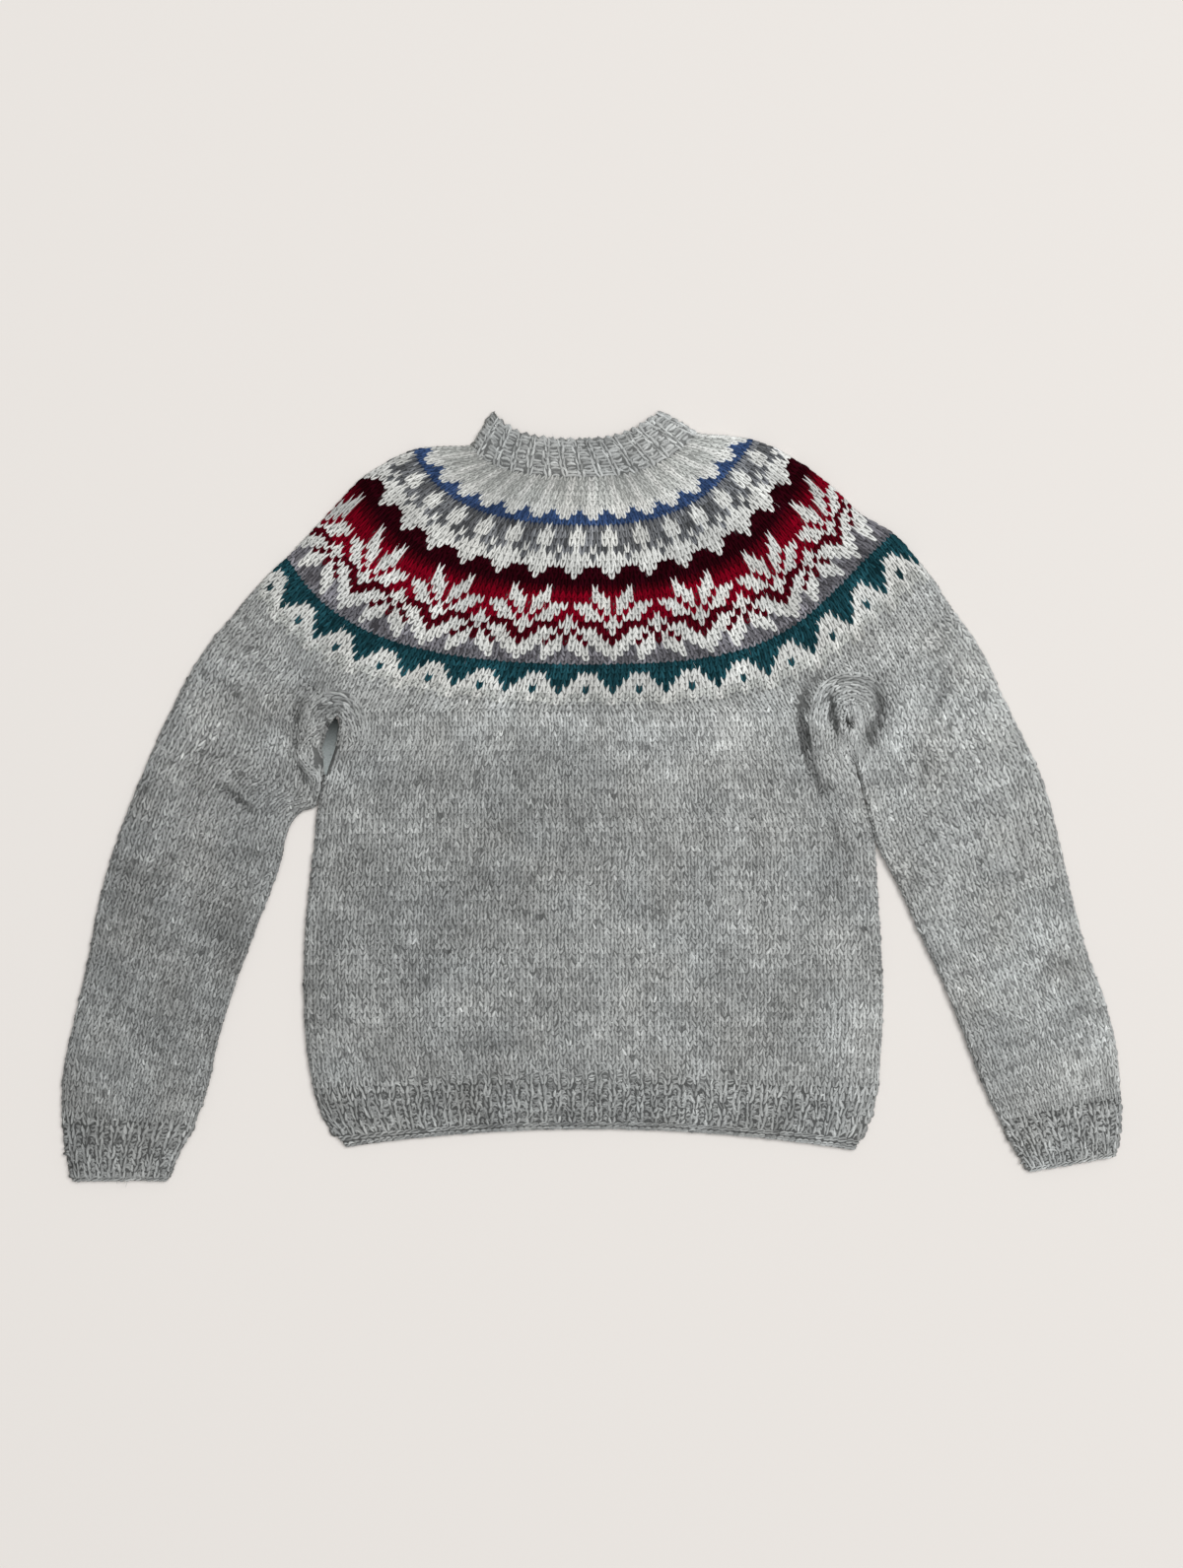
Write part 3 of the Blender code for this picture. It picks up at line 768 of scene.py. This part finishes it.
def add_node(tree, kind, inputs=(), **settings):
    """The outputs of a new node. Its inputs are numbers or the outputs of other nodes."""
    node = tree.nodes.new("ShaderNode" + kind)
    for name, value in settings.items():
        setattr(node, name, value)
    for name, value in dict(inputs).items():
        if isinstance(value, bpy.types.NodeSocket):
            tree.links.new(value, node.inputs[name])
        else:
            node.inputs[name].default_value = value
    return node.outputs


def noise(tree, place, scale, detail):
    return add_node(tree, "TexNoise", {"Vector": place, "Scale": scale, "Detail": detail})["Fac"]


def ranged(tree, source, middle, spread):
    """Noise, spread about this middle by this share of it to either side."""
    inputs = {"Value": source, "From Min": 0.3, "From Max": 0.7}
    inputs.update({"To Min": (1.0 - spread) * middle, "To Max": (1.0 + spread) * middle})
    return add_node(tree, "MapRange", inputs)["Result"]


def wool_material(name, lightness, bump, strands):
    """Matt spun wool in the colour of the mesh's yarn, with its own fuzz and, on stitches, the
    plies that run along each leg."""
    material = bpy.data.materials.new(name)
    material.use_nodes = True
    tree = material.node_tree
    shader = tree.nodes["Principled BSDF"]
    shader.inputs["Roughness"].default_value = 0.95
    shader.inputs["Specular IOR Level"].default_value = 0.03
    yarn = add_node(tree, "Attribute", attribute_name="yarn")["Color"]
    place = add_node(tree, "TexCoord")["Object"]
    fuzz = noise(tree, place, 1000.0, 3.0)
    factor, relief = ranged(tree, fuzz, lightness, 0.20), fuzz
    if strands:
        along = add_node(tree, "Attribute", attribute_name="fibre")["Vector"]
        stretched = add_node(tree, "VectorMath", {0: along, 1: (1.5, 0.28, 1.0)}, operation="MULTIPLY")
        plies = noise(tree, stretched["Vector"], 1.0, 2.0)
        both = {0: factor, 1: ranged(tree, plies, 1.0, strands)}
        factor = add_node(tree, "Math", both, operation="MULTIPLY")["Value"]
        relief = add_node(tree, "Math", {0: plies, 1: fuzz}, operation="ADD")["Value"]
    tint = add_node(tree, "VectorMath", {0: yarn, "Scale": factor}, operation="SCALE")
    tree.links.new(tint["Vector"], shader.inputs["Base Color"])
    bumps = add_node(tree, "Bump", {"Strength": bump, "Distance": 0.0005, "Height": relief})
    tree.links.new(bumps["Normal"], shader.inputs["Normal"])
    return material

# ---- Shells of cloth ----


def grid_faces(index, after):
    return np.stack((index[:-1], after[:-1], after[1:], index[1:]), axis=-1).reshape(-1, 4)


def shell(name, cloth, levels, front, back, colour_of, slot, material, *low_patches):
    """A tube's cloth as a closed thin shell: its outer face, its inner face, and the edges
    between them. levels are its rows and front and back the turns of its columns."""
    inner = copy.copy(cloth)
    inner.sink(FABRIC)
    v, q = np.meshgrid(levels, np.concatenate((front, 1.0 + back)), indexing="ij")
    outside = cloth.place(v, q)
    inside = inner.place(v, q)
    flat = (q > 0.06) & (q < 0.94)
    inside[..., 2] = np.minimum(inside[..., 2], LAID_HEIGHT / 2 + inner.half)
    inside[..., 2] = np.where(flat, np.maximum(inside[..., 2], INNER_LOWEST), inside[..., 2])
    index = np.arange(v.size).reshape(v.shape)
    after = np.roll(index, -1, axis=1)
    face = grid_faces(index, after)
    low_edge = np.stack((index[0] + v.size, after[0] + v.size, after[0], index[0]), axis=-1)
    high_edge = np.stack((index[-1], after[-1], after[-1] + v.size, index[-1] + v.size), axis=-1)
    points = np.concatenate((outside.reshape(-1, 3), inside.reshape(-1, 3)))
    faces = np.concatenate((face, face[:, ::-1] + v.size, low_edge, high_edge))
    colours = np.tile(colour_of(v, q).reshape(-1, 3), (2, 1))
    points, faces, colours, _ = together((points, faces, colours), *low_patches)
    return add_piece(name, points, faces, colours, slot, material)


def slab(band, thickness, colour):
    """A closed thin strip of cloth along a band, with painted shade that is darkest where it is deepest.
    """
    v, q = np.meshgrid(np.linspace(0.0, 1.0, 17), np.linspace(0.0, 1.0, 9), indexing="ij")
    top = band.place(v, q)
    low = top - (0.0, 0.0, thickness)
    index = np.arange(v.size).reshape(v.shape)
    ring = np.concatenate((index[0], index[1:, -1], index[-1, -2::-1], index[-2:0:-1, 0]))
    after = np.roll(ring, -1)
    face = grid_faces(index[:, :-1], index[:, 1:])
    rim = np.stack((ring + v.size, after + v.size, after, ring), axis=-1)
    points = np.concatenate((top.reshape(-1, 3), low.reshape(-1, 3)))
    painted_tones = np.interp(np.tile(v.ravel(), 2), HOLLOW_AT, HOLLOW_PAINTED_SHADE)
    return points, np.concatenate((face, face[:, ::-1] + v.size, rim)), colour * painted_tones[:, None]

# ---- Colours and rows of knitting ----


def painted_light_at(x, y):
    """Painted light: how much lighter the wool is painted there, growing lighter to the right and on the
    chest.
    """
    chest = np.clip((y + 0.005) / 0.065, 0.0, 1.0)
    middle = np.clip((0.215 - np.abs(x)) / 0.03, 0.0, 1.0)
    across = 1.0 + x * (0.48 + 1.2 * np.clip(y, 0.0, 0.15))
    return across * (1.0 + (0.16 + 0.10 * middle) * chest * chest * (3.0 - 2.0 * chest))


def heather(cloth, v, q, tone=1.0, colour=GREY, painted_light_share=1.0):
    """The yarn's colour there, with the cloudy patches of hand-dyed, uneven wool, the painted light that
    grows to the right and on the chest, and painted shade in the creases. The last argument says how
    much of that painted light it follows."""
    x, y = plan(cloth, v, q)
    clouds = ((0.12, 0.055, 3), (0.15, 0.024, 5), (0.07, 0.012, 7))
    cloud = sum(strength * patchy(x, y, size, seed) for strength, size, seed in clouds)
    # painted light: the wool is painted lighter to the right and on the chest
    painted_light_and_shade = 1.0 + painted_light_share * (painted_light_at(x, y) - 1.0)
    # less light reaches into the creases
    trough = np.clip(-soft_sum(CREASES, x, y), 0.0, DEEPEST)
    painted_light_and_shade = painted_light_and_shade * (1.0 - CREASE_PAINTED_SHADE[0] * trough - CREASE_PAINTED_SHADE[1] * trough**2)
    # and the dye leans to warm or cool
    warm = 0.010 * patchy(x, y, 0.030, 9)[..., None] * (1.0, 0.0, -1.0)
    return colour * (tone * painted_light_and_shade * (1.0 + cloud))[..., None] * (1.0 + warm)


STREAKS, STREAK_LENGTH = 60, 9.0  # after how many they repeat, and stitches in one


def row_streaks(rows, turns, wales, strength, seed):
    """Lightness that runs along a row for some stitches, as marled yarn does."""
    table = np.random.default_rng(seed).standard_normal((rows.max() + 1, STREAKS))
    at = turns * wales / STREAK_LENGTH
    low = np.floor(at).astype(int)
    return strength * mix(table[rows, low % STREAKS], table[rows, (low + 1) % STREAKS], at - low)


def bare(cloth, v, q, bands):
    """Which of these stitches no band lies on. All bands lie on the front."""
    x, y = plan(cloth, v, q)
    free = np.ones(len(v), bool)
    near = (np.abs(x) > BANDS_FROM) & (np.abs(x) < BANDS_TO) & (y > BANDS_ABOVE)
    near &= np.mod(q, 2.0) < 1.0
    for band in bands:
        free[near] &= ~band.covers(x[near], y[near])
    return free


# the chance below which a stitch is dark, or above which pale, and how much
DARK_FLECKS, PALE_FLECKS = (0.010, -0.42), (0.985, 0.30)


def flecked(number):
    """Now and then a stitch of dark or pale wool."""
    chance = rng.random(number)
    pale = np.where(chance > PALE_FLECKS[0], PALE_FLECKS[1], 0.0)
    return np.where(chance < DARK_FLECKS[0], DARK_FLECKS[1], pale)


# places across the hem, and how many rows below the body its ribs start there
HEM_STARTS_AT = (0.0, 0.03, 0.12, 0.23, 0.6, 0.7, 0.76, 0.82, 0.93, 1.0)
HEM_STARTS = (2.6, 2.4, 0.0, -2.0, -2.0, -1.0, 0.0, 1.0, 2.5, 2.5)


def rib_start(q):
    """How many of the hem's rows are still plain at this turn; less than none, how many of the
    body's are ribbed already."""
    along = np.where(q > 1.0, 2.0 - q, q)
    wavy = 0.35 * np.sin(along * 251.0) + 0.35 * np.sin(along * 97.0)
    return np.interp(along, HEM_STARTS_AT, HEM_STARTS) + wavy


def stitch_grid(edges, wales):
    """Row and wale of each stitch between these levels, and its foot and height."""
    rows, wale = np.divmod(np.arange((len(edges) - 1) * wales), wales)
    return rows, wale, edges[rows], edges[rows + 1] - edges[rows]


def plain_knitting(cloth, wales, seed, bands, ribbed=False):
    """Front and back stitches of a plain tube, with wales on each of its layers. Ribbed, every
    other wale begins with purl stitches."""
    edges = cloth.levels(ROW)
    layers = []
    for layer, template in enumerate((KNIT, KNIT_PLAIN)):
        rows, wale, v, dv = stitch_grid(edges, wales)
        free = bare(cloth, v + dv / 2, layer + (wale + 0.5) / wales, bands)
        rows, wale, v, dv = rows[free], wale[free], v[free], dv[free]
        q = layer + (wale + 0.5) / wales
        purl = (rows < -rib_start(q)) & (wale % 2 == 0) & ribbed
        tone = 1.0 + row_streaks(rows, q, wales, 0.07, seed) + flecked(len(rows))
        colour = heather(cloth, v, q, tone)
        stitches = Stitches(cloth, v, dv, q, 1.0 / wales, colour, GREY_MARL)
        knitting = Knitting()
        way = rng.integers(0, len(PURLS), len(rows))
        knitting.add(stitches.only(~purl), template, loose=1.5)
        for k, bow in enumerate(PURLS):
            knitting.add(stitches.only(purl & (way == k)), bow, RIB_CELL, 1.5)
        knitting.add_hairs(stitches, (0.22, 0.12)[layer])
        if layer == 0:
            knitting.add_bends(stitches, CURLS, 0.06, (0.0, 1.0), 0.5, (0.7, 1.35), PLAIN_CELL, 1.5)
        layers.append(knitting)
    return layers


def band_knitting(knitting, band, wales, seed, tone):
    """Stitches of a band, from each end to its middle."""
    for way, side in enumerate((band, band.turned())):
        count = round(side.length / 2 / ROW)
        rows, wale = np.divmod(np.arange(count * wales), wales)
        v, q = rows / count / 2, (wale + 0.5) / wales
        colour = heather(side, v, q, tone * (1.0 + row_streaks(wale, v, 40, 0.10, seed + way)))
        knitting.add(Stitches(side, v, 0.5 / count, q, 1.0 / wales, colour, 0.2), KNIT, loose=1.2)


def upright(cloth, v, q):
    """The turn at v of a rib that hangs straight down from its turn q at the top."""
    back = q > 1.0
    along = np.where(back, 2.0 - q, q)
    at = np.arange(len(cloth.rows))
    left, right = (np.interp(v * ROW_STEPS, at, cloth.rows[:, end, 0]) for end in (0, -1))
    start, stop = ((cloth.rows[-1, end, 0] - left) / (right - left) for end in (0, -1))
    eased = mix(start, stop, along) - start * (1.0 - along) ** 6 + (1.0 - stop) * along**6
    return np.where(back, 2.0 - eased, eased)


# place and width of the purl and the knit wale in each rib, as shares of it
RIB = ((0.22, 0.44, PURL), (0.72, 0.56, RIB_KNIT))
EVEN_RIB = ((0.31, 0.62, PURL), (0.81, 0.38, RIB_KNIT))


def rib_knitting(cloth, ribs, tone, seed, first=0.0, hangs=False, even=False):
    """One-by-one rib round a tube: a column of knit stitches, then one of purl bows. first is
    the share of its height where the ribs start. Hanging ones are the hem's; in even ones most
    purls are alike."""
    edges = cloth.levels(RIB_ROW, first)
    count = len(edges) - 1
    knitting = Knitting()
    for layer in (0, 1):
        for shift, part, template in EVEN_RIB if even else RIB:
            rows, rib, v, dv = stitch_grid(edges, ribs)
            q = layer + (rib + shift) / ribs
            lean, plain = 0.0, np.zeros(len(rows), bool)
            if hangs:
                plain = count - rows <= rib_start(q)
                low, high = upright(cloth, v, q), upright(cloth, v + dv, q)
                q, lean = low, high - low
            fade = np.where(plain, 1.12, 1.10 if template is RIB_KNIT else 0.96)
            fade = fade * (1.0 + row_streaks(rows, q, ribs * 2, 0.07, seed))
            colour = heather(cloth, v, q, tone * fade)
            stitches = Stitches(cloth, v, dv, q, part / ribs, colour, 0.17, lean)
            way = rng.integers(0, len(PURLS), len(rows))
            kinds = [(way == k, bow) for k, bow in enumerate(PURLS)]
            if template is not PURL:
                kinds = [(True, template)]
            elif even:
                kinds[:3] = [(way < 3, PURL)]
            for here, kind in kinds:
                knitting.add(stitches.only(~plain & here), kind, RIB_CELL, 2.0)
            knitting.add(stitches.only(plain), KNIT, loose=2.0)
            knitting.add_hairs(stitches, 0.20)
            share = 0.15 if even else 0.18
            knitting.add_bends(stitches, BENDS, share, (0.1, 0.9), 0.4, (0.75, 1.3), RIB_CELL, 2.0)
    return knitting


def cast_edge(knitting, cloth, v, number, tone, template=LINK, layers=(0, 1), stretch=1.0, bare_ends=0):
    """A chain of links round a tube's open end, number of them on each layer, less those that
    are left out at either fold."""
    for layer in layers:
        q = layer + (np.arange(bare_ends, number - bare_ends) + 0.5) / number
        at = np.full(len(q), v)
        high = stretch * RIB_ROW / cloth.height * cloth.top
        colour = heather(cloth, at, q, tone)
        knitting.add(Stitches(cloth, at, high, q, 1.0 / number, colour, 0.18), template, RIB_CELL)

# ---- The yoke ----


def chart_v(row):
    """The yoke cloth's v at a chart row; from 0 to 1 it is plain."""
    return 1.0 + np.interp(row, ROWS_MEASURED, ROWS_PLACES)


def widths(q):
    return np.gradient(np.unwrap(q, period=2.0))


def yoke_knitting(cloth, bands):
    layers = [Knitting(), Knitting()]
    # plain stitches from the join up to the chart, as many as fit along each wale
    wales = FIRST_UNIT * HALF_UNITS
    q = turn_of(0.0, (np.arange(wales) + 0.5) / FIRST_UNIT)
    foot, head = cloth.place(np.zeros(wales), q), cloth.place(np.ones(wales), q)
    fits = np.ceil(np.linalg.norm(head - foot, axis=1) / ROW - 0.2).astype(int)
    wale = np.repeat(np.arange(wales), fits)
    row = np.concatenate([np.arange(n) for n in fits])
    v, dv = row / fits[wale], 1.0 / fits[wale]
    width, q = widths(q)[wale], q[wale]
    tone = 1.0 + row_streaks(row, q, 120, 0.09, 21) + flecked(len(v))
    plain = Stitches(cloth, v, dv, q, width, heather(cloth, v, q, tone), GREY_MARL)
    add_by_layer(layers, plain.only(bare(cloth, v + dv / 2, q, bands)), 0.20)
    # the chart's rounds
    rows = chart_rows()
    for number, line in enumerate(rows):
        per_unit, _, shift, _ = line
        unit = (np.arange(per_unit * HALF_UNITS) + shift) / per_unit
        q = turn_of(number + 0.5, unit)
        lean = turn_of(number + 1.0, unit) - turn_of(number, unit)
        lean = (lean + 1.0) % 2.0 - 1.0
        low, high = chart_v(number), chart_v(number + 1)
        v = np.full(len(q), low)
        yarn = yarn_at(line, unit)
        marl = YARN_MARLS[yarn]
        dark_grey, lilac = yarn == YARN_KEYS.index("D"), yarn == YARN_KEYS.index("L")
        blots = np.maximum(patchy(*plan(cloth, v, q), 0.011, 15), np.where(dark_grey, -0.35, -1.0))
        mottle = (1.6 + 1.0 * dark_grey) * blots * np.clip(marl - 0.1, 0.0, 0.2)
        streak = row_streaks(np.full(len(q), number), q, 120, 1.0, 33) * marl * 0.4
        # the last rounds before the collar lie in its shade
        shade = np.interp(number, (len(rows) - 4, len(rows) - 1), (1.0, 0.82))
        tone = shade * (1.0 + 0.14 * np.interp(number, (8, 10), (0.0, 1.0)) * lilac)
        colour = heather(cloth, v, q, tone + streak + mottle, YARN_COLOURS[yarn], 0.35)
        stitches = Stitches(cloth, v, high - low, q - lean / 2, widths(q), colour, marl, lean)
        add_by_layer(layers, stitches, 0.07, CHART_CELL, CHART_KNIT if number < SMALL_FROM else KNIT)
    return layers


def add_by_layer(layers, stitches, fuzz, cell=PLAIN_CELL, legs=KNIT):
    """Adds stitches to the front or the back, with fuzz as the front's share of fibres."""
    for layer, (knitting, template) in enumerate(zip(layers, (legs, KNIT_PLAIN))):
        some = stitches.only((np.mod(stitches.q, 2.0) >= 1.0) == bool(layer))
        knitting.add(some, template, cell)
        knitting.add_hairs(some, (fuzz, 0.07)[layer])


def yoke_ground(cloth, v, q):
    """The yarn's colour under the stitches of the yoke."""
    rows = chart_rows()
    chart_row = np.interp(v - 1.0, ROWS_PLACES, ROWS_MEASURED)
    share = np.linspace(0.0, HALF_UNITS, 1201)[:-1]
    colours = np.tile(GREY, (*v.shape, 1))
    for number, line in enumerate(rows):
        here = (v >= 1.0) & (np.floor(chart_row + 1e-6).astype(int) == number)
        turns = turn_of(number + 0.5, share)
        order = np.argsort(turns)
        nearest = np.searchsorted(turns[order], np.mod(q[here], 2.0)).clip(0, len(order) - 1)
        unit = share[order][nearest]
        # a dark stitch of the row below reaches up between the pale ones
        yarn, below = yarn_at(line, unit), yarn_at(rows[max(number - 1, 0)], unit)
        darker = YARN_COLOURS.sum(axis=1)[below] < YARN_COLOURS.sum(axis=1)[yarn]
        # and under the pale rounds at the top it is lighter
        colours[here] = YARN_COLOURS[np.where(darker, below, yarn)] * (1.5 if number > 31 else 0.9)
    return colours

# ---- The garment ----


def turns(count, fold=3):
    """Columns across one layer, closer together at its folds."""
    inside = np.linspace(0.0, 1.0, count + 1)[1:-1]
    near = np.linspace(0.0, inside[0], fold + 1)[:-1]
    return np.concatenate((near, inside, 1.0 - near[:0:-1]))


def add_layers(name, layers, slot, material):
    named = zip(("front", "back"), layers)
    return [layer.piece(f"{name}_{side}_stitches", slot, material) for side, layer in named]


def add_garment():
    # The cloth under the stitches is painted about a third as light as its yarn, and darker still under
    # the ribs of hem and cuffs: painted shade in the gaps between stitches.
    ground = wool_material("wool_under_stitches_painted_shade", 0.34, 0.3, 0.0)
    wool = wool_material("spun_wool", 1.0, 0.6, 0.22)

    def grey_shell(name, cloth, step, front, back, tone=1.0, slot="rib_wool", low_patches=()):
        levels, front, back = cloth.levels(step), turns(front), turns(back)
        grey = lambda v, q: heather(cloth, v, q, tone)
        return shell(name, cloth, levels, front, back, grey, slot, ground, *low_patches)

    right_graft, left_graft = Band(RIGHT_GRAFT, crown=0.0006), Band(LEFT_GRAFT, crown=0.0012)
    right_bridge, left_roll = Band(RIGHT_BRIDGE, crown=0.0004), Band(LEFT_ROLL, crown=0.0030)
    left_hollow = Band(LEFT_HOLLOW, crown=0.0, base=(0.0046, 0.0060))
    bands = (right_graft, left_graft, left_roll, left_hollow, Band(LEFT_SHADE, 0.0))

    body = Cloth([straight_row(row) for row in BODY_ROWS[::-1]])
    patch = slab(left_hollow, 0.0007, GREY * (0.93, 1.0, 1.01))
    cloth = grey_shell("body_cloth", body, 0.006, 110, 40, slot="heather_wool", low_patches=(patch,))
    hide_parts("body")
    layers = plain_knitting(body, BODY_WALES, 11, bands, ribbed=True)
    add_layers("body", layers, "heather_wool", wool)

    hem = Cloth([straight_row(row) for row in HEM_ROWS[::-1]], edge_drop=0.0034)
    cloth = grey_shell("hem_cloth", hem, 0.003, 84, 84, 0.72)
    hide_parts("hem_rib")
    knitting = rib_knitting(hem, HEM_RIBS, tone=0.92, seed=12, first=0.20, hangs=True)
    cast_edge(knitting, hem, v=0.33, number=70, tone=0.96, layers=(0,), stretch=1.05)
    cast_edge(knitting, hem, v=0.09, number=82, tone=1.05, stretch=0.95)
    knitting.piece("hem_stitches", "rib_wool", wool)

    # rows of sleeve and cuff, a seed, and how light the cuff's cloth, painted shade between its ribs,
    # and its stitches are
    for side, sleeve_rows, cuff_rows, seed, under, over in (
        ("left", SLEEVE_LEFT_ROWS, CUFF_LEFT_ROWS, 13, 0.72, 0.90),
        ("right", SLEEVE_RIGHT_ROWS, CUFF_RIGHT_ROWS, 14, 0.58, 0.86),
    ):
        sleeve = Cloth([sleeve_row(row) for row in sleeve_rows[::-1]])
        cloth = grey_shell(f"sleeve_{side}_cloth", sleeve, 0.006, 40, 16, slot="heather_wool")
        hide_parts(f"sleeve_{side}")
        layers = plain_knitting(sleeve, SLEEVE_WALES, seed, bands)
        add_layers(f"sleeve_{side}", layers, "heather_wool", wool)

        cuff = Cloth([sleeve_row(row) for row in cuff_rows[::-1]], edge_drop=0.0016)
        cloth = grey_shell(f"cuff_{side}_cloth", cuff, 0.004, 22, 22, under)
        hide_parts(f"cuff_{side}")
        knitting = rib_knitting(cuff, CUFF_RIBS, over, seed + 10, first=0.06)
        cast_edge(knitting, cuff, v=0.06, number=18, tone=1.0)
        knitting.piece(f"cuff_{side}_stitches", "rib_wool", wool)

    yoke = Cloth([join_round(), *(yoke_round(*pair) for pair in zip(YOKE_ROUNDS, RIGHT_BENDS))])
    rows = np.concatenate((np.linspace(0.0, 1.0, 15)[:-1], chart_v(np.arange(len(chart_rows()) + 1.0))))
    chart_colour = lambda v, q: yoke_ground(yoke, v, q)
    cloth = shell("yoke_cloth", yoke, rows, turns(150), turns(60), chart_colour, "yoke_wool", ground)
    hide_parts("yoke")
    layers = yoke_knitting(yoke, bands)
    # a band, its wales, a seed and how light it is
    for band, wales, seed, tone in (
        (right_bridge, 3, 47, 0.90),
        (right_graft, 6, 41, 0.95),
        (left_graft, 4, 43, 0.95),
        (left_roll, 2, 45, 1.0),
    ):
        band_knitting(layers[0], band, wales, seed, tone)
    add_layers("yoke", layers, "yoke_wool", wool)

    collar = Cloth([yoke_round(row, TOP_BEND) for row in COLLAR_ROUNDS], edge_drop=0.0020, edge_at=2.0)
    cloth = grey_shell("collar_cloth", collar, 0.003, 40, 40, 0.95)
    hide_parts("collar")
    knitting = rib_knitting(collar, COLLAR_RIBS, tone=0.98, seed=31, even=True)
    cast_edge(knitting, collar, v=1.94, number=20, tone=0.88, template=LOBE, bare_ends=1)
    knitting.piece("collar_stitches", "rib_wool", wool)


add_camera()
add_surroundings()
add_garment()
